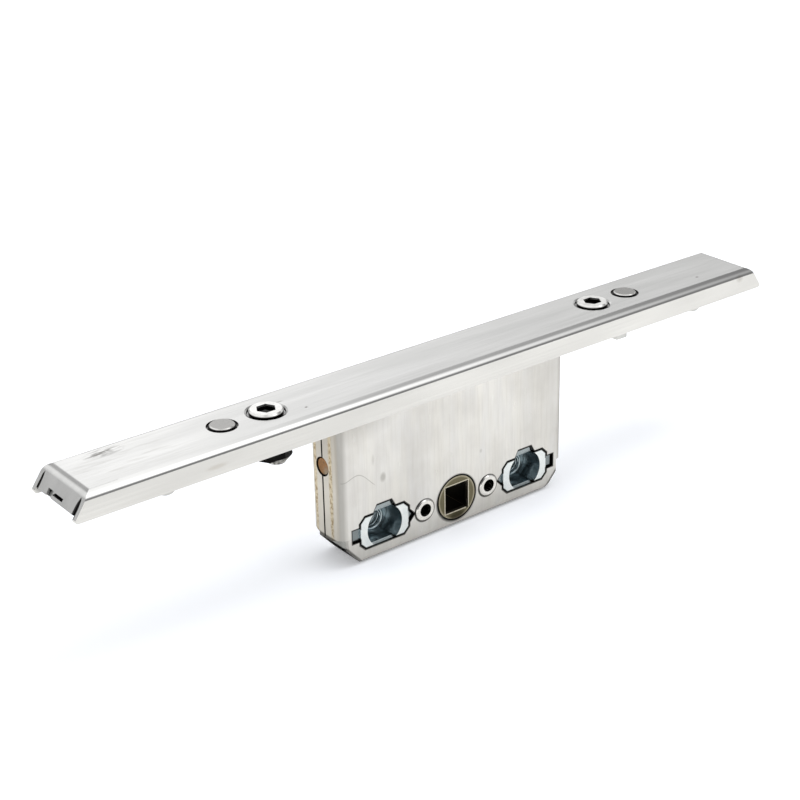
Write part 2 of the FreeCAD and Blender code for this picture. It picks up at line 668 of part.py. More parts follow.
# Thin square sleeve that lines the socket, open along one corner
def spindle_sleeve():
    outer = SPINDLE_AF / 2 + SLEEVE_WALL
    inner = SPINDLE_AF / 2
    tube = box(-outer, outer, FRONT_Y, REAR_Y, SPINDLE_RISE - outer, SPINDLE_RISE + outer)
    tube = tube.cut(box(-inner, inner, FRONT_Y - 1, REAR_Y + 1, SPINDLE_RISE - inner, SPINDLE_RISE + inner))
    slit_x = inner - SLEEVE_SLIT
    return tube.cut(box(slit_x, inner, FRONT_Y - 1, REAR_Y + 1, SPINDLE_RISE - outer - 1, SPINDLE_RISE))


# Rack with its riser and the tenon that is riveted into the drive bar
def rack():
    tip = RACK_Z - TOOTH_MODULE
    root = RACK_Z + DEDENDUM
    slope = math.tan(math.radians(PRESSURE_ANGLE))
    half_gap = PITCH_STEP / 4 + BACKLASH / 4
    last = SECTOR_TEETH - 1 - SECTOR_LEAD_TEETH
    points = [(-RACK_START, root + RACK_BACK), (-RACK_START, tip)]
    for index in range(-SECTOR_LEAD_TEETH, last + 1):
        centre = index * PITCH_STEP
        wide = half_gap + slope * (RACK_Z - tip)
        narrow = half_gap - slope * (root - RACK_Z)
        points.extend([(centre - wide, tip), (centre - narrow, root)])
        points.extend([(centre + narrow, root), (centre + wide, tip)])
    end = RACK_LENGTH - RACK_START
    points.extend([(end, tip), (end, root + RACK_BACK)])
    plate = prism_y(points, 0, SECTOR_Y0, SECTOR_Y1)
    riser = box(RISER_START, RISER_START + RISER_LENGTH, SECTOR_Y0, SECTOR_Y1, root, BAR_LOW)
    return join([plate, riser, rack_tenon(0)])


def rack_tenon(grow):
    middle = RISER_START + RISER_LENGTH / 2
    half = TENON_LENGTH / 2 + grow
    back = SECTOR_Y0 + TENON_WIDTH + grow
    return box(middle - half, middle + half, SECTOR_Y0 - grow, back, BAR_LOW, BAR_TOP)


# Drive bar: narrow where it passes through the case, wide outside, with two long slots
def drive_bar():
    narrow = REAR_IN_Y - BAR_SIDE_GAP
    neck_left = -HALF_CASE - BAR_CASE_GAP
    neck_right = HALF_CASE + TRAVEL + BAR_CASE_GAP
    wide = BAR_WIDE / 2
    top_half = [(-BAR_END_LEFT, wide), (neck_left, wide), (neck_left, narrow), (neck_right, narrow),
                (neck_right, wide), (BAR_END_RIGHT, wide)]
    points = top_half + [(x, -y) for x, y in reversed(top_half)]
    radii = [BAR_CORNER_R] + [0] * 4 + [BAR_CORNER_R]
    bar = prism_z(points, radii + radii[::-1], BAR_LOW, BAR_TOP)
    bar = bar.cut(slot(-POST_OFFSET - POST_SHANK_R, -SCREW_OFFSET + TRAVEL + SCREW_SHANK_R))
    bar = bar.cut(slot(SCREW_OFFSET - SCREW_SHANK_R, POST_OFFSET + TRAVEL + POST_SHANK_R))
    bar = bar.cut(rack_tenon(TENON_FIT))
    for place in (-PIN_LEFT_X, PIN_RIGHT_X):
        bar = bar.cut(rod_z(place, 0, PIN_TENON_R, BAR_LOW - 1, BAR_TOP + 1))
    return bar


# Slot through the bar between two extreme edges of the screw and the post
def slot(from_x, to_x):
    radius = SCREW_SHANK_R + SLOT_SIDE_GAP
    start = from_x - SLOT_END_GAP + radius
    end = to_x + SLOT_END_GAP - radius
    return obround_z(start, end, radius, BAR_LOW - 1, BAR_TOP + 1)


# Coupling pin: under the bar, its tenon pressed through the bar
def coupling_pin(place):
    tip = BAR_LOW - PIN_LENGTH
    pin = rod_z(place, 0, PIN_R, tip, BAR_LOW)
    pin = pin.makeChamfer(PIN_EDGE, [edge_at_z(pin, tip)])
    return join([pin, rod_z(place, 0, PIN_TENON_R, BAR_LOW, BAR_TOP)])


def clamp_screw(place):
    seat = FACE_TOP - RECESS_DEPTH
    top = seat + SCREW_HEAD_HEIGHT
    head = rod_z(place, 0, SCREW_HEAD_R, seat, top)
    head = head.makeChamfer(SCREW_HEAD_EDGE, [edge_at_z(head, top)])
    shank = rod_z(place, 0, SCREW_SHANK_R, SPINDLE_RISE + SCREW_TIP_Z, seat)
    socket = hexagon(place, SCREW_SOCKET_AF, top - SCREW_SOCKET_DEPTH, top + 1)
    return join([head, shank]).cut(socket)


def hexagon(place, across_flats, z0, z1):
    radius = across_flats / math.sqrt(3)
    points = [(place + radius * math.cos(math.radians(60 * i)), radius * math.sin(math.radians(60 * i)))
              for i in range(6)]
    return prism_z(points, 0, z0, z1)


def guide_post(place):
    seat = FACE_TOP - POST_RECESS_DEPTH
    top = seat + POST_HEAD_HEIGHT
    head = rod_z(place, 0, POST_HEAD_R, seat, top)
    head = head.makeChamfer(POST_HEAD_EDGE, [edge_at_z(head, top)])
    return join([head, rod_z(place, 0, POST_SHANK_R, SPINDLE_RISE + POST_TIP_Z, seat)])


# Clamp plate: spans from the screw to the post, and slides up and down on them
def clamp_plate(side, top_rise):
    top = SPINDLE_RISE + top_rise
    low = top - CLAMP_THICKNESS
    plate = obround_z(SCREW_OFFSET, POST_OFFSET, CLAMP_WIDTH / 2, low, top)
    plate = plate.cut(rod_z(SCREW_OFFSET, 0, SCREW_SHANK_R + CLAMP_SCREW_GAP, low - 1, top + 1))
    plate = plate.cut(rod_z(POST_OFFSET, 0, POST_SHANK_R + CLAMP_POST_GAP, low - 1, top + 1))
    return plate if side > 0 else mirror_x(plate)


# Lug folded down from the front edge of the right clamp plate
def clamp_lug(top_rise):
    low = SPINDLE_RISE + top_rise - CLAMP_THICKNESS
    edge = -CLAMP_WIDTH / 2
    half = LUG_LENGTH / 2
    return box(LUG_X - half, LUG_X + half, edge, edge + CLAMP_THICKNESS, low - LUG_DROP, low)


# Clamp nut: hexagonal, against the underside of the plate
def clamp_nut(place, top_rise):
    top = SPINDLE_RISE + top_rise - CLAMP_THICKNESS
    low = top - NUT_HEIGHT
    thread_hole = rod_z(place, 0, SCREW_SHANK_R + NUT_THREAD_FIT, low - 1, top + 1)
    return hexagon(place, NUT_AF, low, top).cut(thread_hole)


# The left nut has a closed, tapered foot that leans towards the case
def clamp_foot():
    floor = SPINDLE_RISE + CLAMP_LEFT_TOP - CLAMP_THICKNESS - NUT_HEIGHT
    return cone_z(FOOT_OFFSET - SCREW_OFFSET, 0, FOOT_TIP_R, FOOT_TOP_R, floor - FOOT_HEIGHT, floor)


def save(name, shape):
    shape.exportStep("parts/" + name + ".step")


def main():
    os.makedirs("parts", exist_ok=True)
    insert = handle_insert()
    pin = stop_pin()
    save("faceplate", faceplate())
    save("front_case", front_case())
    save("rear_case", rear_case())
    save("bearing_plate", bearing_plate())
    save("handle_insert_right", insert)
    save("handle_insert_left", mirror_x(insert))
    save("stop_pin_right", pin)
    save("stop_pin_left", mirror_x(pin))
    save("hollow_rivet_left", hollow_rivet(-RIVET_OFFSET))
    save("hollow_rivet_right", hollow_rivet(RIVET_OFFSET))
    save("guide_post_left", guide_post(-POST_OFFSET))
    save("guide_post_right", guide_post(POST_OFFSET))
    save("follower", follower())
    save("spindle_sleeve", spindle_sleeve())
    save("rack", rack())
    save("drive_bar", drive_bar())
    save("coupling_pin_left", coupling_pin(-PIN_LEFT_X))
    save("coupling_pin_right", coupling_pin(PIN_RIGHT_X))
    save("clamp_screw_left", clamp_screw(-SCREW_OFFSET))
    save("clamp_screw_right", clamp_screw(SCREW_OFFSET))
    save("clamp_plate_left", clamp_plate(-1, CLAMP_LEFT_TOP))
    save("clamp_plate_right", join([clamp_plate(1, CLAMP_RIGHT_TOP), clamp_lug(CLAMP_RIGHT_TOP)]))
    save("clamp_nut_left", join([clamp_nut(-SCREW_OFFSET, CLAMP_LEFT_TOP), clamp_foot()]))
    save("clamp_nut_right", clamp_nut(SCREW_OFFSET, CLAMP_RIGHT_TOP))


main()
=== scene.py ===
import math

import bmesh
import bpy
from mathutils import Matrix, Vector


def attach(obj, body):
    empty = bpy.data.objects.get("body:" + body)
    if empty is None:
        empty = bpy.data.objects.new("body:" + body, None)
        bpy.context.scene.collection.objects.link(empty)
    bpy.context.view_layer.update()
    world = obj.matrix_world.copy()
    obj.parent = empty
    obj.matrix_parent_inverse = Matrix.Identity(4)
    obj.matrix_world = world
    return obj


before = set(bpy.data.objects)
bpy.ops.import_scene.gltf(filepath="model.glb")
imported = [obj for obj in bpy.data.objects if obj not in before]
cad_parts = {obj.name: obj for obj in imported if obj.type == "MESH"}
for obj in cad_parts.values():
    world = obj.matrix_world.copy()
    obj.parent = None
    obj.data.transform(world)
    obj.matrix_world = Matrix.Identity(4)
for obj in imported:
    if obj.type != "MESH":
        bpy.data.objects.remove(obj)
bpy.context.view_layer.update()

# Window espagnolette gearbox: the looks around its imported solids. The scene is in metres, and sizes are
# written in millimetres unless their comment says metres
MM = 0.001

# A reach that takes in the whole object
WHOLE = 900.0

# Places on the case and in it, in the solids' frame
SPINDLE_RISE = 7.65
HANDLE_X = 21.5
LUG_OUTER_X = 30.3
LUG_INNER_X = 12.8
CASE_FRONT_Y = -5.7
CASE_END_X = 33.7
CASE_BEND_X = 33.2
CASE_BEND_Y = 5.2
SEAM_Y = 0.9
CAVITY_BACK_Y = 0.3
RIVET_X = 9.7
RIVET_R = 2.66
FOLLOWER_HOLE_R = 5.9

# Places on the faceplate: its web, the bends beside the web and the slits beside the end tabs
WEB_TOP_Z = 42.75
WEB_BEND_Y = 8.7
WEB_BEND_Z = 42.1
SLIT_X = 98.2
SLIT_Y = 7.6
SLIT_Z = 38.4

# Places on the clamp screws and the guide posts, and the height above which the nuts are painted black with
# the faceplate's shadow
SCREW_X = 48.4
SCREW_TOP_Z = 43.45
POST_X = 59.6
POST_TOP_Z = 43.2
NUT_SHADOW_Z = 31.6

# The case's cut lower corners: which way the right one faces, and how far out it lies that way
SLANT = (0.748, 0.0, -0.664)
SLANT_OUT = 21.1

# Painted shadow round the rivets and the follower, a little wider on the lower left
SHADOW_RING_WIDTH = 0.45
SHADOW_RING_SHIFT = 0.1

# Where heat has left its tint beside the seam: places along Y and their half widths
HEAT_BANDS = [(-2.1, 0.9), (3.6, 0.7)]

# The scratch on the case's front
SCRATCH_START_X = -33.7
SCRATCH_START_Z = 22.2
SCRATCH_END_X = -22.8
SCRATCH_END_Z = 18.2
SCRATCH_RISE = 2.6

# Threads: those of the clamp screws, which end above the highest place of their nuts, and those that
# the handle's screws go into
THREAD_PITCH = 0.8
THREAD_RIDGE = 0.28
CLAMP_THREAD_R = 2.22
CLAMP_THREAD_LOW_Z = 36.8
CLAMP_THREAD_TURNS = 5.5
HANDLE_THREAD_R = 2.12
HANDLE_THREAD_DEPTH = 0.35
HANDLE_THREAD_TURNS = 6.0

# The raised mouth of the handle's tapped hole
COLLAR_R = 3.0
COLLAR_HOLE_R = 2.24
COLLAR_TOP_Y = -1.2
COLLAR_STEPS = 48

# The lamp beside the object, and the floor, in metres
LAMP_PLACE = (0.35, -0.1, 0.9)
LAMP_TARGET = (0, 0, 0.02)
LAMP_SIZE = 0.6
LAMP_POWER = 3.5
FLOOR_SIZE = 6.0
FLOOR_DROP = 0.0001

# Light that the paper gives off by itself, as the camera and as metal sees it
PAPER_GLOW = 0.27
PAPER_GLOW_IN_METAL = 0.06

# The camera, placed where the photograph was taken from
CAMERA_PLACE = (-230.008, -282.741, 198.151)
CAMERA_RIGHT = (0.78645, -0.61737, -0.01883)
CAMERA_UP = (0.27074, 0.31717, 0.90890)
CAMERA_BACK = (-0.55515, -0.71990, 0.41659)
CAMERA_LENS = 77.25


def colour(code):
    """Linear colour of an sRGB hex value."""
    parts = [int(code[i:i + 2], 16) / 255 for i in (1, 3, 5)]
    return (*[c / 12.92 if c <= 0.04045 else ((c + 0.055) / 1.055) ** 2.4 for c in parts], 1.0)


def add(tree, kind, inputs=None, output=0, **settings):
    """Adds a node; an input is a socket to link from, a hex colour or a plain value."""
    made = tree.nodes.new(kind)
    for name, value in settings.items():
        setattr(made, name, value)
    for name, value in (inputs or {}).items():
        if isinstance(value, bpy.types.NodeSocket):
            tree.links.new(value, made.inputs[name])
        else:
            made.inputs[name].default_value = colour(value) if isinstance(value, str) else value
    return made.outputs[output]


def new_material(name, base, roughness, metallic=1.0):
    """A material with its node tree, its shader and the socket that gives the place on the object."""
    material = bpy.data.materials.new(name)
    material.use_nodes = True
    tree = material.node_tree
    shader = tree.nodes["Principled BSDF"]
    shader.inputs["Base Color"].default_value = colour(base)
    shader.inputs["Metallic"].default_value = metallic
    shader.inputs["Roughness"].default_value = roughness
    return material, tree, shader, add(tree, "ShaderNodeTexCoord", output="Object")


def uneven(tree, place, sizes_mm, low=0.3, high=0.7, start=0.0, end=1.0, detail=2.0):
    """Unevenness in patches of a real size along X, Y and Z: start below low, end above high."""
    scale = [1 / (size * MM) for size in sizes_mm]
    patches = add(tree, "ShaderNodeMapping", {"Vector": place, "Scale": scale})
    value = add(tree, "ShaderNodeTexNoise", {"Vector": patches, "Scale": 1.0, "Detail": detail})
    return add(tree, "ShaderNodeMapRange", {"Value": value, "From Min": low, "From Max": high,
                                            "To Min": start, "To Max": end})


def clouded(tree, place, sizes_mm, first, second, **limits):
    """Two colours in soft clouds of a real size."""
    share = uneven(tree, place, sizes_mm, **limits)
    return add(tree, "ShaderNodeMix", {0: share, 6: first, 7: second}, 2, data_type="RGBA")


def near(tree, place, centre_mm, reach_mm, core=0.4):
    """1 around a place, falling to 0 at its reach along each axis."""
    from_centre = add(tree, "ShaderNodeVectorMath", {0: place, 1: [c * MM for c in centre_mm]},
                      operation="SUBTRACT")
    in_reaches = add(tree, "ShaderNodeVectorMath", {0: from_centre, 1: [1 / (r * MM) for r in reach_mm]},
                     operation="MULTIPLY")
    distance = add(tree, "ShaderNodeVectorMath", {0: in_reaches}, "Value", operation="LENGTH")
    return add(tree, "ShaderNodeMapRange", {"Value": distance, "From Min": 1.0, "From Max": core})


def marked(tree, tone, shade, strength, *shares):
    """A colour laid over another by the product of a strength and some shares."""
    for share in shares:
        strength = add(tree, "ShaderNodeMath", {0: share, 1: strength}, operation="MULTIPLY")
    return add(tree, "ShaderNodeMix", {0: strength, 6: tone, 7: shade}, 2, data_type="RGBA")


def shade_in_gaps(tree, tone, reach_mm, shade="#0E0E0E", start=0.62, end=0.3):
    """Paints shade into the narrow gaps and inner corners: the less open a place, the darker."""
    openness = add(tree, "ShaderNodeAmbientOcclusion", {"Distance": reach_mm * MM}, "AO", samples=12)
    share = add(tree, "ShaderNodeMapRange", {"Value": openness, "From Min": start, "From Max": end})
    return add(tree, "ShaderNodeMix", {0: share, 6: tone, 7: shade}, 2, data_type="RGBA")


# Outline of the right handle insert's raised face, as forms that overlap: the middle with its cut
# corners, the outer lug, the inner lug and the hump on top. A form is the space inside its edges. An edge
# is the direction it faces, in two shares, and its distance from the middle. The first share counts as it
# stands, and the second one also for the mirror images of the edge
INSERT_FORMS = [
    [((0, 0, 0), (1, 0, 0), 6.9), ((0, 0, 0), (0, 1, 0), 3.95), ((0, 0, 0), (0.707, 0.707, 0), 6.72)],
    [((1, 0, 0), (0, 0, 0), 9.0), ((-1, 0, 0), (0, 0, 0), 0.0), ((0, 0, 0), (0, 1, 0), 1.4)],
    [((-0.73, 0, 0), (0, 0.684, 0), 6.13), ((1, 0, 0), (0, 0, 0), -6.5)],
    [((0, 0.486, 0), (0.874, 0, 0), 4.48), ((0, 1, 0), (0, 0, 0), 5.8), ((0, -1, 0), (0, 0, 0), 0.0)],
]


def off_insert(tree, place):
    """Distance in millimetres from the outline of an insert's raised face, less than 0 inside it."""
    mirrored = add(tree, "ShaderNodeVectorMath", {0: place}, operation="ABSOLUTE")
    spot = {}
    for axis, middle in (("X", HANDLE_X), ("Z", SPINDLE_RISE)):
        part = add(tree, "ShaderNodeSeparateXYZ", {"Vector": mirrored}, axis)
        spot[axis] = add(tree, "ShaderNodeMath", {0: part, 1: 1 / MM, 2: -middle}, operation="MULTIPLY_ADD")
    spot = add(tree, "ShaderNodeCombineXYZ", {"X": spot["X"], "Y": spot["Z"]})
    folded = add(tree, "ShaderNodeVectorMath", {0: spot}, operation="ABSOLUTE")
    outline = WHOLE
    for edges in INSERT_FORMS:
        form = -WHOLE
        for way, mirrored_way, reach in edges:
            first = add(tree, "ShaderNodeVectorMath", {0: spot, 1: way}, "Value", operation="DOT_PRODUCT")
            second = add(tree, "ShaderNodeVectorMath", {0: folded, 1: mirrored_way}, "Value",
                         operation="DOT_PRODUCT")
            edge = add(tree, "ShaderNodeMath", {0: first, 1: second}, operation="ADD")
            edge = add(tree, "ShaderNodeMath", {0: edge, 1: reach}, operation="SUBTRACT")
            form = add(tree, "ShaderNodeMath", {0: edge, 1: form}, operation="MAXIMUM")
        outline = add(tree, "ShaderNodeMath", {0: form, 1: outline}, operation="MINIMUM")
    return outline


# Marks on the faceplate: centre, reach, strength, colour
FACE_MARKS = [
    ((-67.0, -9.2, 39.0), (3.2, 1.5, 0.7), 0.3, "#A89F92"),
    # Painted shade beside the left clamp screw, beyond its dish on the far right
    ((-43.8, 2.2, WEB_TOP_Z), (1.6, 0.4, 1.0), 0.5, "#8E8B86"),
    ((-40.6, -3.9, WEB_TOP_Z), (0.5, 0.4, 1.0), 0.8, "#76736E"),
    ((81.3, -4.2, WEB_TOP_Z), (0.6, 0.5, 1.0), 0.6, "#807D78"),
    ((92.0, -8.6, 41.0), (1.6, 1.6, 1.2), 0.4, "#9A958C"),
]


# Stainless strip, ground with a belt along its length: fine lines along X and a satin shine
def belt_ground_stainless():
    material, tree, shader, place = new_material("belt_ground_stainless", "#D9D8D5", 0.24)
    tone = clouded(tree, place, (38.0, 5.0, 9.0), "#D3D3D2", "#DFDFDE", low=0.35, high=0.65)
    # The belt's lines are some 0.1 mm wide; they are drawn three times as coarse, or they wouldn't show
    lines = uneven(tree, place, (30.0, 0.35, 0.35), detail=4.0)
    tone = marked(tree, tone, "#C2C1BF", 0.28, lines)
    scuffs = uneven(tree, place, (3.0, 0.6, 2.0), 0.38, 0.52, detail=4.0)
    scuffed_end = near(tree, place, (-85.3, 5.0, WEB_TOP_Z), (5.2, 2.2, 4.0), 0.35)
    tone = marked(tree, tone, "#6E6C69", 0.9, scuffs, scuffed_end)
    wiped = uneven(tree, place, (6.0, 1.2, 3.0), 0.48, 0.68, detail=3.0)
    wiped_end = near(tree, place, (-84.0, 0.0, WEB_TOP_Z), (16.0, 9.0, 4.0))
    tone = marked(tree, tone, "#B4B2AE", 0.35, wiped, wiped_end)
    # Painted shadow in the slits beside the end tabs
    for side in (-1, 1):
        for edge, width in ((-1, 0.8), (1, 0.5)):
            slit_shadow = near(tree, place, (side * SLIT_X, edge * SLIT_Y, SLIT_Z), (3.4, width, 3.4), 0.75)
            tone = marked(tree, tone, "#0C0C0C", 0.95, slit_shadow)
    for centre, reach, strength, shade in FACE_MARKS:
        tone = marked(tree, tone, shade, strength, near(tree, place, centre, reach))
    tree.links.new(shade_in_gaps(tree, tone, 1.2, start=0.68, end=0.4), shader.inputs["Base Color"])
    shine = uneven(tree, place, (30.0, 0.35, 0.35), 0.2, 0.8, 0.19, 0.25)
    for side in (-1, 1):
        bend = near(tree, place, (0.0, side * WEB_BEND_Y, WEB_BEND_Z), (400.0, 1.5, 1.5), 0.6)
        shine = add(tree, "ShaderNodeMix", {0: bend, 2: shine, 3: 0.1}, data_type="FLOAT")
    tree.links.new(shine, shader.inputs["Roughness"])
    normal = add(tree, "ShaderNodeBump", {"Height": lines, "Strength": 0.12, "Distance": 0.02 * MM})
    tree.links.new(normal, shader.inputs["Normal"])
    return material


# Marks on the front of the case: centre, reach, strength. The first three are painted shade, under the
# faceplate and on the right; the rest are blotches and spots
CASE_MARKS = [
    ((-29.0, CASE_FRONT_Y, 40.0), (16.0, 1.0, 10.0), 0.45),
    ((29.0, CASE_FRONT_Y, 40.0), (18.0, 1.0, 16.0), 0.2),
    ((29.0, CASE_FRONT_Y, 20.0), (14.0, 1.0, 14.0), 0.16),
    ((-8.0, CASE_FRONT_Y, 30.0), (14.0, 1.0, 9.0), 0.08),
    ((-14.0, CASE_FRONT_Y, 16.0), (7.0, 1.0, 9.0), 0.1),
    ((-21.7, CASE_FRONT_Y, 20.2), (1.0, 1.0, 1.5), 0.5),
    ((-24.4, CASE_FRONT_Y, 25.5), (0.5, 1.0, 1.6), 0.2),
    ((7.5, CASE_FRONT_Y, 17.5), (0.5, 1.0, 0.7), 0.3),
]


# Cold rolled stainless sheet, deep drawn and left with its mill finish: faint upright streaks
def mill_finish_stainless():
    material, tree, shader, place = new_material("mill_finish_stainless", "#D2CFC9", 0.3)
    tone = clouded(tree, place, (4.0, 4.0, 22.0), "#DCDCDC", "#E2E1DE", low=0.35, high=0.65, detail=4.0)
    tone = marked(tree, tone, "#C6C4C0", 0.5, uneven(tree, place, (7.0, 7.0, 9.0), 0.42, 0.75, detail=4.0))
    tone = marked(tree, tone, "#C6C4C1", 0.35, uneven(tree, place, (0.5, 0.5, 9.0), 0.45, 0.75, detail=4.0))
    # Painted shade on the case's four upright bends
    for side in (-1, 1):
        for front in (-1, 1):
            bend = near(tree, place, (side * CASE_BEND_X, front * CASE_BEND_Y, 20.0), (1.6, 1.6, 90.0), 0.3)
            tone = marked(tree, tone, "#8F8E8B", 0.6, bend)
    for side in (-1, 1):
        # Painted shade on the case's end faces, with a warm tint
        end = near(tree, place, (side * (CASE_END_X + 0.3), 0.0, 20.0), (0.7, 9.0, 40.0), 0.7)
        tone = marked(tree, tone, "#B8B1A3", 0.5, end)
        # Painted shade at the top of the end faces, under the faceplate
        shade = near(tree, place, (side * (CASE_END_X + 0.3), 0.0, 42.0), (0.7, 14.0, 26.0), 0.1)
        tone = marked(tree, tone, "#665F55", 0.7, shade)
        seam = near(tree, place, (side * CASE_END_X, SEAM_Y, 20.0), (3.0, 0.3, WHOLE), 0.8)
        tone = marked(tree, tone, "#1A1917", 1.0, seam)
    for band_y, width in HEAT_BANDS:
        tone = tint_by_heat(tree, place, tone, band_y, width)
    # Painted shade in the gap round each handle insert's window
    on_front = near(tree, place, (0.0, CASE_FRONT_Y, SPINDLE_RISE), (WHOLE, 0.6, WHOLE), 0.9)
    outline = off_insert(tree, place)
    window_gap_shade = add(tree, "ShaderNodeMapRange", {"Value": outline, "From Min": 0.62, "From Max": 0.45})
    tone = marked(tree, tone, "#121212", 0.95, window_gap_shade, on_front)
    # Painted shadow round the rivets and the follower
    for x, radius in ((-RIVET_X, RIVET_R), (0.0, FOLLOWER_HOLE_R), (RIVET_X, RIVET_R)):
        ring_shadow = near(tree, place, (x - SHADOW_RING_SHIFT, CASE_FRONT_Y, SPINDLE_RISE - SHADOW_RING_SHIFT),
                    (radius + SHADOW_RING_WIDTH, 1.5, radius + SHADOW_RING_WIDTH), 0.93)
        tone = marked(tree, tone, "#1A1918", 0.95, ring_shadow)
    # Painted shade along the case's cut lower corners
    mirrored = add(tree, "ShaderNodeVectorMath", {0: place}, operation="ABSOLUTE")
    outwards = add(tree, "ShaderNodeVectorMath", {0: mirrored, 1: SLANT}, "Value", operation="DOT_PRODUCT")
    cut_edge_shade = add(tree, "ShaderNodeMapRange", {"Value": outwards, "From Min": (SLANT_OUT - 0.7) * MM,
                                                "From Max": (SLANT_OUT - 0.4) * MM})
    tone = marked(tree, tone, "#1C1B19", 0.85, cut_edge_shade)
    # Painted shade on the case, darker towards the floor below 8 mm
    height = add(tree, "ShaderNodeSeparateXYZ", {"Vector": place}, "Z")
    foot_shade = add(tree, "ShaderNodeMapRange", {"Value": height, "From Min": 8.0 * MM, "From Max": 0.0})
    tone = marked(tree, tone, "#A3A29E", 0.4, foot_shade)
    for centre, reach, strength in CASE_MARKS:
        tone = marked(tree, tone, "#8B8883", strength, near(tree, place, centre, reach))
    tone = marked(tree, tone, "#8B8986", 0.55, scratch(tree, place))
    tree.links.new(shade_in_gaps(tree, tone, 0.8), shader.inputs["Base Color"])
    tree.links.new(uneven(tree, place, (0.5, 0.5, 6.0), 0.2, 0.8, 0.26, 0.38), shader.inputs["Roughness"])
    grain = uneven(tree, place, (0.5, 0.5, 6.0), 0.2, 0.8, detail=3.0)
    normal = add(tree, "ShaderNodeBump", {"Height": grain, "Strength": 0.08, "Distance": 0.02 * MM})
    tree.links.new(normal, shader.inputs["Normal"])
    return material


def scratch(tree, place):
    """A hair-fine scratch that runs in from the left edge of the front, up and down again."""
    along = add(tree, "ShaderNodeSeparateXYZ", {"Vector": place}, "X")
    across = add(tree, "ShaderNodeSeparateXYZ", {"Vector": place}, "Z")
    run = add(tree, "ShaderNodeMapRange", {"Value": along, "From Min": SCRATCH_START_X * MM,
                                           "From Max": SCRATCH_END_X * MM})
    chord = add(tree, "ShaderNodeMapRange", {"Value": run, "To Min": SCRATCH_START_Z * MM,
                                             "To Max": SCRATCH_END_Z * MM})
    off_middle = add(tree, "ShaderNodeMath", {0: run, 1: 0.5}, operation="SUBTRACT")
    off_middle = add(tree, "ShaderNodeMath", {0: off_middle}, operation="ABSOLUTE")
    arch = add(tree, "ShaderNodeMapRange", {"Value": off_middle, "From Min": 0.5, "From Max": 0.0,
                                            "To Max": SCRATCH_RISE * MM}, interpolation_type="SMOOTHSTEP")
    line = add(tree, "ShaderNodeMath", {0: chord, 1: arch}, operation="ADD")
    apart = add(tree, "ShaderNodeMath", {0: across, 1: line}, operation="SUBTRACT")
    apart = add(tree, "ShaderNodeMath", {0: apart}, operation="ABSOLUTE")
    on_line = add(tree, "ShaderNodeMapRange", {"Value": apart, "From Min": 0.16 * MM,
                                               "From Max": 0.05 * MM})
    area = near(tree, place, (SCRATCH_START_X, CASE_FRONT_Y, SCRATCH_START_Z), (11.0, 0.6, 8.0), 0.9)
    return add(tree, "ShaderNodeMath", {0: on_line, 1: area}, operation="MULTIPLY")


def tint_by_heat(tree, place, tone, band_y, width):
    """The yellow brown dots and haze that heat has left along the seams of the case's ends."""
    dots = uneven(tree, place, (0.5, 0.5, 0.7), 0.46, 0.62)
    for side in (-1, 1):
        band = near(tree, place, (side * CASE_END_X, band_y, 20.0), (0.8, width, 26.0))
        tone = marked(tree, tone, "#C9B88F", 0.55, band)
        tone = marked(tree, tone, "#7A6036", 0.7, band, dots)
    return tone


# Zinc die casting: pale blue grey and smooth on its faces, with painted shade in its hollows, on its
# recessed lugs and along the edges of its raised faces, neutral in the corners
def die_cast_zinc():
    material, tree, shader, place = new_material("die_cast_zinc", "#DCE4E8", 0.24)
    tone = clouded(tree, place, (2.0, 2.0, 2.0), "#EBF0F2", "#DFE6E9", detail=3.0)
    # Painted shade, darker the further a place lies behind the front face
    depth = add(tree, "ShaderNodeSeparateXYZ", {"Vector": place}, "Y")
    low = add(tree, "ShaderNodeMapRange", {"Value": depth, "From Min": (CASE_FRONT_Y + 0.15) * MM,
                                           "From Max": (CASE_FRONT_Y + 0.3) * MM})
    tone = marked(tree, tone, "#B7C2C7", 1.0, low)
    deep_shade = add(tree, "ShaderNodeMapRange", {"Value": depth, "From Min": (CASE_FRONT_Y + 1.0) * MM,
                                            "From Max": (CASE_FRONT_Y + 3.0) * MM})
    tone = marked(tree, tone, "#AEBABF", 1.0, deep_shade)
    for side in (-1, 1):
        # Painted shade on the recessed lugs
        for lug_x in (LUG_OUTER_X, LUG_INNER_X):
            lug_shade = near(tree, place, (side * lug_x, CASE_FRONT_Y + 0.6, SPINDLE_RISE), (1.9, 1.2, 3.4), 0.8)
            tone = marked(tree, tone, "#7C8487", 0.9, lug_shade, low)
        corner = near(tree, place, (side * (CASE_END_X - 1.0), 0.0, 3.0), (4.6, 9.0, 6.0), 0.8)
        tone = marked(tree, tone, "#9C9C99", 0.9, corner)
    # Painted shade along the edges of the raised faces, at the gap round them
    raised = add(tree, "ShaderNodeMapRange", {"Value": depth, "From Min": (CASE_FRONT_Y + 1.1) * MM,
                                              "From Max": (CASE_FRONT_Y + 0.7) * MM})
    outline = off_insert(tree, place)
    edge = add(tree, "ShaderNodeMapRange", {"Value": outline, "From Min": -0.28, "From Max": -0.08})
    tone = marked(tree, tone, "#121212", 0.9, edge, raised)
    tree.links.new(shade_in_gaps(tree, tone, 0.8), shader.inputs["Base Color"])
    grains = uneven(tree, place, (0.8, 0.8, 0.8), 0.2, 0.8, 0.18, 0.28)
    tree.links.new(grains, shader.inputs["Roughness"])
    normal = add(tree, "ShaderNodeBump", {"Height": grains, "Strength": 0.05, "Distance": 0.02 * MM})
    tree.links.new(normal, shader.inputs["Normal"])
    return material


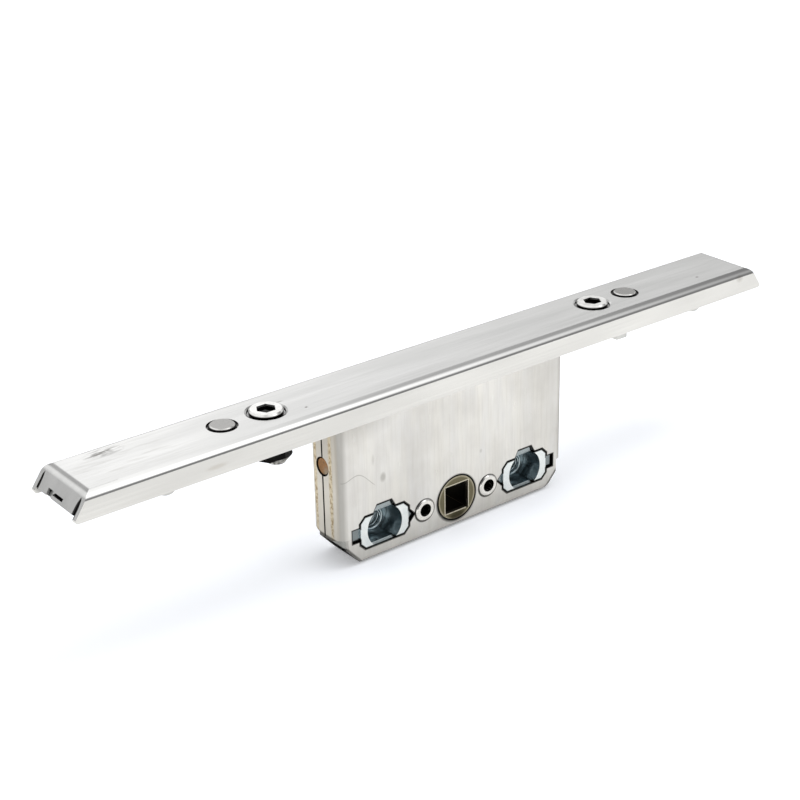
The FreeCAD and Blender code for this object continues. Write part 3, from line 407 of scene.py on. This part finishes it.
# Sintered steel, soaked in oil: dull khaki bronze with tiny pores, its turned edge lighter
def sintered_steel():
    material, tree, shader, place = new_material("sintered_steel", "#A9A188", 0.3)
    tone = clouded(tree, place, (3.0, 3.0, 3.0), "#A09A86", "#B0AA96")
    inside = near(tree, place, (0.0, CASE_FRONT_Y, SPINDLE_RISE), (5.4, WHOLE, 5.4), 0.92)
    tone = marked(tree, tone, "#6C6753", 1.0, inside)
    # Painted shade on the follower below its socket
    below_socket_shade = near(tree, place, (0.0, CASE_FRONT_Y, 2.9), (3.4, WHOLE, 1.6))
    tone = marked(tree, tone, "#2E2B1E", 0.8, below_socket_shade)
    pores = uneven(tree, place, (0.25, 0.25, 0.25), 0.55, 0.75, detail=3.0)
    tone = marked(tree, tone, "#5A5240", 0.35, pores)
    tree.links.new(shade_in_gaps(tree, tone, 0.8), shader.inputs["Base Color"])
    normal = add(tree, "ShaderNodeBump", {"Height": pores, "Strength": 0.2, "Distance": 0.03 * MM})
    tree.links.new(normal, shader.inputs["Normal"])
    return material


# Hardened steel strip, bent to a square sleeve: straw coloured on its edge, painted black with shade inside
def tempered_strip_steel():
    material, tree, shader, place = new_material("tempered_strip_steel", "#9C947C", 0.3)
    edge = clouded(tree, place, (0.3, 8.0, 0.3), "#DAD5C6", "#B9B3A1", detail=3.0)
    # Painted shade inside the sleeve, black behind its front edge
    depth = add(tree, "ShaderNodeSeparateXYZ", {"Vector": place}, "Y")
    inside_shade = add(tree, "ShaderNodeMapRange", {"Value": depth, "From Min": (CASE_FRONT_Y + 0.1) * MM,
                                             "From Max": (CASE_FRONT_Y + 1.2) * MM})
    tree.links.new(marked(tree, edge, "#26221A", 1.0, inside_shade), shader.inputs["Base Color"])
    return material


def shade_at_foot(tree, place, tone):
    """Paints shade on the foot of a head that stands in the web: black below a height just above the web.
    """
    height = add(tree, "ShaderNodeSeparateXYZ", {"Vector": place}, "Z")
    foot_shade = add(tree, "ShaderNodeMapRange", {"Value": height, "From Min": (WEB_TOP_Z + 0.28) * MM,
                                            "From Max": (WEB_TOP_Z + 0.18) * MM})
    return add(tree, "ShaderNodeMix", {0: foot_shade, 6: tone, 7: "#0C0C0C"}, 2, data_type="RGBA")


# Turned steel, nickel plated: bright and smooth
def nickel_plated_steel():
    material, tree, shader, place = new_material("nickel_plated_steel", "#E6E6E4", 0.14)
    tone = clouded(tree, place, (1.6, 1.6, 1.6), "#EFEFED", "#DDDCDA")
    # Painted shade in the hex sockets
    for side in (-1, 1):
        socket_shade = near(tree, place, (side * SCREW_X, 0.0, SCREW_TOP_Z - 1.0), (2.7, 2.7, 0.98), 0.9)
        tone = marked(tree, tone, "#101010", 1.0, socket_shade)
    tone = shade_at_foot(tree, place, tone)
    tree.links.new(shade_in_gaps(tree, tone, 0.8), shader.inputs["Base Color"])
    tree.links.new(uneven(tree, place, (1.6, 1.6, 1.6), 0.2, 0.8, 0.1, 0.2), shader.inputs["Roughness"])
    return material


# Steel with a thin bright zinc plating: cool grey, slightly cloudy
def zinc_plated_steel():
    material, tree, shader, place = new_material("zinc_plated_steel", "#BDBFBF", 0.32)
    tone = clouded(tree, place, (2.5, 2.5, 2.5), "#D0D1D0", "#BCBDBC", detail=3.0)
    tree.links.new(shade_in_gaps(tree, tone, 0.8), shader.inputs["Base Color"])
    tree.links.new(uneven(tree, place, (0.3, 0.3, 0.3), 0.2, 0.8, 0.26, 0.4), shader.inputs["Roughness"])
    return material


# Hollow rivets of tinned steel, rolled over at the rim: bright rim, the bore in shadow
def rolled_steel():
    material, tree, shader, place = new_material("rolled_steel", "#D9D8D6", 0.2)
    tone = clouded(tree, place, (1.0, 1.0, 1.0), "#F0EFED", "#DAD9D7", detail=3.0)
    depth = add(tree, "ShaderNodeSeparateXYZ", {"Vector": place}, "Y")
    deep_shade = add(tree, "ShaderNodeMapRange", {"Value": depth, "From Min": (CASE_FRONT_Y + 1.6) * MM,
                                            "From Max": (CASE_FRONT_Y + 2.6) * MM})
    tree.links.new(marked(tree, tone, "#161616", 1.0, deep_shade), shader.inputs["Base Color"])
    tree.links.new(uneven(tree, place, (0.6, 0.6, 0.6), 0.2, 0.8, 0.16, 0.28), shader.inputs["Roughness"])
    return material


# Steel with a thin phosphate coat: dark, rubbed bright in specks, painted black with the faceplate's shadow
# at the top
def phosphated_steel():
    material, tree, shader, place = new_material("phosphated_steel", "#6E6D6A", 0.35)
    tone = clouded(tree, place, (0.7, 0.7, 0.7), "#C4C3C0", "#6A6967", low=0.4, high=0.6, detail=4.0)
    # Painted shadow of the faceplate: black above a height
    height = add(tree, "ShaderNodeSeparateXYZ", {"Vector": place}, "Z")
    faceplate_shadow = add(tree, "ShaderNodeMapRange", {"Value": height, "From Min": NUT_SHADOW_Z * MM,
                                             "From Max": (NUT_SHADOW_Z + 0.5) * MM})
    tone = marked(tree, tone, "#121212", 1.0, faceplate_shadow)
    tree.links.new(shade_in_gaps(tree, tone, 1.2), shader.inputs["Base Color"])
    tree.links.new(uneven(tree, place, (0.7, 0.7, 0.7), 0.3, 0.7, 0.25, 0.45), shader.inputs["Roughness"])
    return material


# Turned stainless stud: bright on its edge, its end face cut dull
def turned_stainless():
    material, tree, shader, place = new_material("turned_stainless", "#DEDDDB", 0.2)
    tone = clouded(tree, place, (1.2, 1.2, 1.2), "#E6E5E3", "#D6D5D2")
    for side in (-1, 1):
        end = near(tree, place, (side * POST_X, 0.0, POST_TOP_Z), (2.6, 2.6, 2.0), 0.95)
        tone = marked(tree, tone, "#9B9A98", 0.9, end)
    tree.links.new(shade_at_foot(tree, place, tone), shader.inputs["Base Color"])
    grain = uneven(tree, place, (2.5, 0.15, 0.5), 0.2, 0.8, 0.2, 0.36, detail=3.0)
    tree.links.new(grain, shader.inputs["Roughness"])
    return material


# Drawn brass rod, dulled to a copper brown on its cut end
def dulled_brass():
    material, tree, shader, place = new_material("dulled_brass", "#A8794E", 0.4)
    tone = clouded(tree, place, (0.5, 0.5, 0.5), "#9C7045", "#75593C", detail=3.0)
    pale = near(tree, place, (-CASE_END_X, -0.6, 22.6), (3.0, 1.9, 2.4))
    tone = marked(tree, tone, "#8F8575", 0.8, pale)
    tree.links.new(shade_in_gaps(tree, tone, 0.8), shader.inputs["Base Color"])
    return material


# Matt white paper under the object: it takes the object's shadow, and the metal shows it a little warmer
def white_paper():
    material, tree, shader, _ = new_material("white_paper", "#EDF0F6", 0.9, 0.0)
    shader.inputs["Specular IOR Level"].default_value = 0.0
    in_metal = add(tree, "ShaderNodeLightPath", output="Is Glossy Ray")
    paper = add(tree, "ShaderNodeMix", {0: in_metal, 6: "#EDF0F6", 7: "#FBFAF7"}, 2, data_type="RGBA")
    tree.links.new(paper, shader.inputs["Base Color"])
    in_picture = add(tree, "ShaderNodeLightPath", output="Is Camera Ray")
    glow = add(tree, "ShaderNodeMath", {0: in_metal, 1: PAPER_GLOW_IN_METAL}, operation="MULTIPLY")
    glow = add(tree, "ShaderNodeMath", {0: in_picture, 1: PAPER_GLOW, 2: glow}, operation="MULTIPLY_ADD")
    light = add(tree, "ShaderNodeEmission", {"Color": "#FFFFFF", "Strength": glow})
    both = add(tree, "ShaderNodeAddShader", {0: shader.outputs["BSDF"], 1: light})
    tree.links.new(both, tree.nodes["Material Output"].inputs["Surface"])
    return material


NODE_FINISHES = {
    belt_ground_stainless: ["faceplate"],
    mill_finish_stainless: ["front_case", "rear_case"],
    die_cast_zinc: ["bearing_plate", "handle_insert_left", "handle_insert_right"],
    sintered_steel: ["follower"],
    tempered_strip_steel: ["spindle_sleeve"],
    nickel_plated_steel: ["clamp_screw_left", "clamp_screw_right"],
    phosphated_steel: ["clamp_nut_left", "clamp_nut_right"],
    rolled_steel: ["hollow_rivet_left", "hollow_rivet_right"],
    zinc_plated_steel: ["rack", "drive_bar", "coupling_pin_left", "coupling_pin_right",
                        "clamp_plate_left", "clamp_plate_right"],
    turned_stainless: ["guide_post_left", "guide_post_right"],
    dulled_brass: ["stop_pin_left", "stop_pin_right"],
}


def finish_nodes():
    """Gives each solid its material. The materials come back by name, for the pieces made here."""
    materials = {}
    for make, nodes in NODE_FINISHES.items():
        material = make()
        materials[make.__name__] = material
        for name in nodes:
            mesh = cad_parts[name].data
            mesh.materials.clear()
            mesh.materials.append(material)
    return materials


def thread_tree():
    """Geometry Nodes for a screw thread: a ridge wound round Z, from its foot upwards."""
    tree = bpy.data.node_groups.new("screw_thread", "GeometryNodeTree")
    for name in ("Radius", "Pitch", "Turns", "Ridge"):
        tree.interface.new_socket(name, in_out="INPUT", socket_type="NodeSocketFloat")
    tree.interface.new_socket("Material", in_out="INPUT", socket_type="NodeSocketMaterial")
    tree.interface.new_socket("Thread", in_out="OUTPUT", socket_type="NodeSocketGeometry")
    sizes = tree.nodes.new("NodeGroupInput").outputs
    height = add(tree, "ShaderNodeMath", {0: sizes["Pitch"], 1: sizes["Turns"]}, operation="MULTIPLY")
    line = add(tree, "GeometryNodeCurveSpiral", {
        "Resolution": 32, "Rotations": sizes["Turns"], "Start Radius": sizes["Radius"],
        "End Radius": sizes["Radius"], "Height": height})
    line = add(tree, "GeometryNodeSetCurveNormal", {"Curve": line}, mode="Z_UP")
    section = add(tree, "GeometryNodeCurvePrimitiveCircle", {"Resolution": 4, "Radius": sizes["Ridge"]})
    ridge = add(tree, "GeometryNodeCurveToMesh", {
        "Curve": line, "Profile Curve": section, "Fill Caps": True})
    ridge = add(tree, "GeometryNodeRealizeInstances", {"Geometry": ridge})
    ridge = add(tree, "GeometryNodeSetMaterial", {"Geometry": ridge, "Material": sizes["Material"]})
    output = tree.nodes.new("NodeGroupOutput")
    tree.links.new(ridge, output.inputs["Thread"])
    return tree


def wind_thread(tree, name, body, place, sizes):
    """Winds a thread, moves its mesh to its place and lets it ride on its body."""
    carrier = bpy.data.objects.new(name + "_carrier", bpy.data.meshes.new(name + "_carrier"))
    bpy.context.scene.collection.objects.link(carrier)
    modifier = carrier.modifiers.new("thread", "NODES")
    modifier.node_group = tree
    sockets = {item.name: item.identifier for item in tree.interface.items_tree if item.in_out == "INPUT"}
    for size, value in sizes.items():
        modifier[sockets[size]] = value
    evaluated = carrier.evaluated_get(bpy.context.evaluated_depsgraph_get())
    mesh = bpy.data.meshes.new_from_object(evaluated)
    carrier.modifiers.remove(modifier)
    bpy.data.objects.remove(carrier)
    mesh.transform(place)
    piece = bpy.data.objects.new(name, mesh)
    bpy.context.scene.collection.objects.link(piece)
    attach(piece, body)


def finish_holes_and_screws(materials):
    """Winds the threads of the clamp screws and of the handle's tapped holes, and turns their collars."""
    tree = thread_tree()
    for side, x in (("left", -SCREW_X), ("right", SCREW_X)):
        place = Matrix.Translation(Vector((x, 0.0, CLAMP_THREAD_LOW_Z)) * MM)
        wind_thread(tree, "clamp_thread_" + side, "clamp_screw_" + side, place, {
            "Radius": CLAMP_THREAD_R * MM, "Pitch": THREAD_PITCH * MM, "Turns": CLAMP_THREAD_TURNS,
            "Ridge": THREAD_RIDGE * MM, "Material": materials["nickel_plated_steel"]})
    for side, x in (("left", -HANDLE_X), ("right", HANDLE_X)):
        place = Matrix.Translation(Vector((x, COLLAR_TOP_Y + HANDLE_THREAD_DEPTH, SPINDLE_RISE)) * MM)
        place = place @ Matrix.Rotation(-math.pi / 2, 4, "X")
        wind_thread(tree, "handle_thread_" + side, "housing", place, {
            "Radius": HANDLE_THREAD_R * MM, "Pitch": THREAD_PITCH * MM, "Turns": HANDLE_THREAD_TURNS,
            "Ridge": THREAD_RIDGE * MM, "Material": materials["die_cast_zinc"]})
        turn_collar("handle_collar_" + side, x, materials["die_cast_zinc"])


def turn_collar(name, x, material):
    """The raised mouth of the tapped hole in a handle insert: a turned ring with rounded lips."""
    foot_y = CAVITY_BACK_Y + 0.1
    section = [(COLLAR_HOLE_R, foot_y), (COLLAR_HOLE_R, COLLAR_TOP_Y + 0.3),
               (COLLAR_HOLE_R + 0.18, COLLAR_TOP_Y), (COLLAR_R - 0.2, COLLAR_TOP_Y),
               (COLLAR_R, COLLAR_TOP_Y + 0.2), (COLLAR_R, foot_y)]
    middle = Vector((x, 0.0, SPINDLE_RISE))
    turned = bmesh.new()
    rings = []
    for step in range(COLLAR_STEPS):
        angle = 2 * math.pi * step / COLLAR_STEPS
        out = Vector((math.cos(angle), 0.0, math.sin(angle)))
        spots = [middle + out * r + Vector((0.0, y, 0.0)) for r, y in section]
        rings.append([turned.verts.new(spot * MM) for spot in spots])
    for step in range(COLLAR_STEPS):
        here = rings[step - 1]
        beside = rings[step]
        for i in range(len(section)):
            turned.faces.new((here[i - 1], here[i], beside[i], beside[i - 1]))
    bmesh.ops.recalc_face_normals(turned, faces=turned.faces)
    for face in turned.faces:
        face.smooth = True
    mesh = bpy.data.meshes.new(name)
    turned.to_mesh(mesh)
    turned.free()
    mesh.materials.append(material)
    collar = bpy.data.objects.new(name, mesh)
    bpy.context.scene.collection.objects.link(collar)
    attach(collar, "housing")


def place_camera():
    data = bpy.data.cameras.new("camera")
    data.lens = CAMERA_LENS
    data.sensor_width = 36.0
    data.clip_start = 0.01
    data.clip_end = 20.0
    camera = bpy.data.objects.new("camera", data)
    turn = Matrix((CAMERA_RIGHT, CAMERA_UP, CAMERA_BACK)).transposed().to_4x4()
    camera.matrix_world = Matrix.Translation(Vector(CAMERA_PLACE) * MM) @ turn
    bpy.context.scene.collection.objects.link(camera)
    bpy.context.scene.camera = camera


def hang_lamp():
    """A soft lamp at the side for the shadow; the metal doesn't mirror it."""
    data = bpy.data.lights.new("side_lamp", "AREA")
    data.size = LAMP_SIZE
    data.energy = LAMP_POWER
    lamp = bpy.data.objects.new("side_lamp", data)
    lamp.visible_glossy = False
    lamp.location = LAMP_PLACE
    lamp.rotation_euler = (Vector(LAMP_TARGET) - Vector(LAMP_PLACE)).to_track_quat("-Z", "Y").to_euler()
    bpy.context.scene.collection.objects.link(lamp)


# Dim places in the tent: direction, how near to it their edge and their core are as cosines, and the
# level there. The second is the dark round the camera
DIM_FLAPS = [((0.03, 0.81, 0.59), 0.965, 0.99, 0.5), ((-0.555, -0.72, 0.417), 0.72, 0.9, 0.12)]


def light_studio():
    """A white tent: darker at the right and at the dim places, with a dim gap above the floor."""
    world = bpy.data.worlds.new("studio")
    bpy.context.scene.world = world
    world.use_nodes = True
    tree = world.node_tree
    direction = add(tree, "ShaderNodeTexCoord", output="Generated")
    to_right = add(tree, "ShaderNodeSeparateXYZ", {"Vector": direction}, "X")
    up = add(tree, "ShaderNodeSeparateXYZ", {"Vector": direction}, "Z")
    forward = add(tree, "ShaderNodeSeparateXYZ", {"Vector": direction}, "Y")
    # The cloth overhead: bright at the right of the middle, then falling off in two steps
    cloth = add(tree, "ShaderNodeMapRange", {"Value": to_right, "From Min": 0.28, "From Max": 0.42,
                                             "To Min": 1.1, "To Max": 1.6})
    fall = add(tree, "ShaderNodeMapRange", {"Value": to_right, "From Min": 0.42, "From Max": 0.55,
                                            "To Min": 0.0, "To Max": 0.94})
    high = add(tree, "ShaderNodeMath", {0: cloth, 1: fall}, operation="SUBTRACT")
    fall = add(tree, "ShaderNodeMapRange", {"Value": to_right, "From Min": 0.55, "From Max": 0.72,
                                            "To Min": 0.0, "To Max": 0.38})
    high = add(tree, "ShaderNodeMath", {0: high, 1: fall}, operation="SUBTRACT")
    # Lower down it falls off less
    low = add(tree, "ShaderNodeMapRange", {"Value": to_right, "From Min": 0.44, "From Max": 0.72,
                                           "To Min": 1.3, "To Max": 0.94})
    low = add(tree, "ShaderNodeMath", {0: low, 1: cloth}, operation="MINIMUM")
    rise = add(tree, "ShaderNodeMapRange", {"Value": up, "From Min": 0.38, "From Max": 0.52})
    level = add(tree, "ShaderNodeMix", {0: rise, 2: low, 3: high}, data_type="FLOAT")
    # The front strip at the right, bright, with a gap under it
    front = add(tree, "ShaderNodeMapRange", {"Value": to_right, "From Min": 0.5, "From Max": 0.72,
                                             "To Min": 1.9, "To Max": 0.5})
    above_gap = add(tree, "ShaderNodeMapRange", {"Value": up, "From Min": 0.25, "From Max": 0.5})
    front = add(tree, "ShaderNodeMix", {0: above_gap, 2: 0.3, 3: front}, data_type="FLOAT")
    in_front = add(tree, "ShaderNodeMapRange", {"Value": forward, "From Min": -0.12, "From Max": -0.42})
    at_right = add(tree, "ShaderNodeMapRange", {"Value": to_right, "From Min": 0.28, "From Max": 0.42})
    in_front = add(tree, "ShaderNodeMath", {0: in_front, 1: at_right}, operation="MULTIPLY")
    level = add(tree, "ShaderNodeMix", {0: in_front, 2: level, 3: front}, data_type="FLOAT")
    for towards, edge, core, shade in DIM_FLAPS:
        nearness = add(tree, "ShaderNodeVectorMath", {0: direction, 1: towards}, "Value",
                       operation="DOT_PRODUCT")
        share = add(tree, "ShaderNodeMapRange", {"Value": nearness, "From Min": edge, "From Max": core})
        level = add(tree, "ShaderNodeMix", {0: share, 2: level, 3: shade}, data_type="FLOAT")
    # The gap above the floor, lighter towards the back. The camera sees plain white all round
    gap = add(tree, "ShaderNodeMapRange", {"Value": up, "From Min": 0.16, "From Max": 0.35})
    dim = add(tree, "ShaderNodeMapRange", {"Value": forward, "From Min": -0.3, "From Max": 0.3,
                                           "To Min": 0.3, "To Max": 0.48})
    level = add(tree, "ShaderNodeMix", {0: gap, 2: dim, 3: level}, data_type="FLOAT")
    seen = add(tree, "ShaderNodeLightPath", output="Is Camera Ray")
    level = add(tree, "ShaderNodeMix", {0: seen, 2: level, 3: 1.0}, data_type="FLOAT")
    tree.links.new(level, tree.nodes["Background"].inputs["Strength"])
    tree.nodes["Background"].inputs["Color"].default_value = colour("#FFFFFF")


def lay_floor(material):
    bpy.ops.mesh.primitive_plane_add(size=FLOOR_SIZE, location=(0, 0, -FLOOR_DROP))
    floor = bpy.context.object
    floor.name = "floor"
    floor.data.materials.append(material)


def main():
    bpy.context.scene.view_settings.view_transform = "Standard"
    place_camera()
    light_studio()
    hang_lamp()
    lay_floor(white_paper())
    finish_holes_and_screws(finish_nodes())


main()
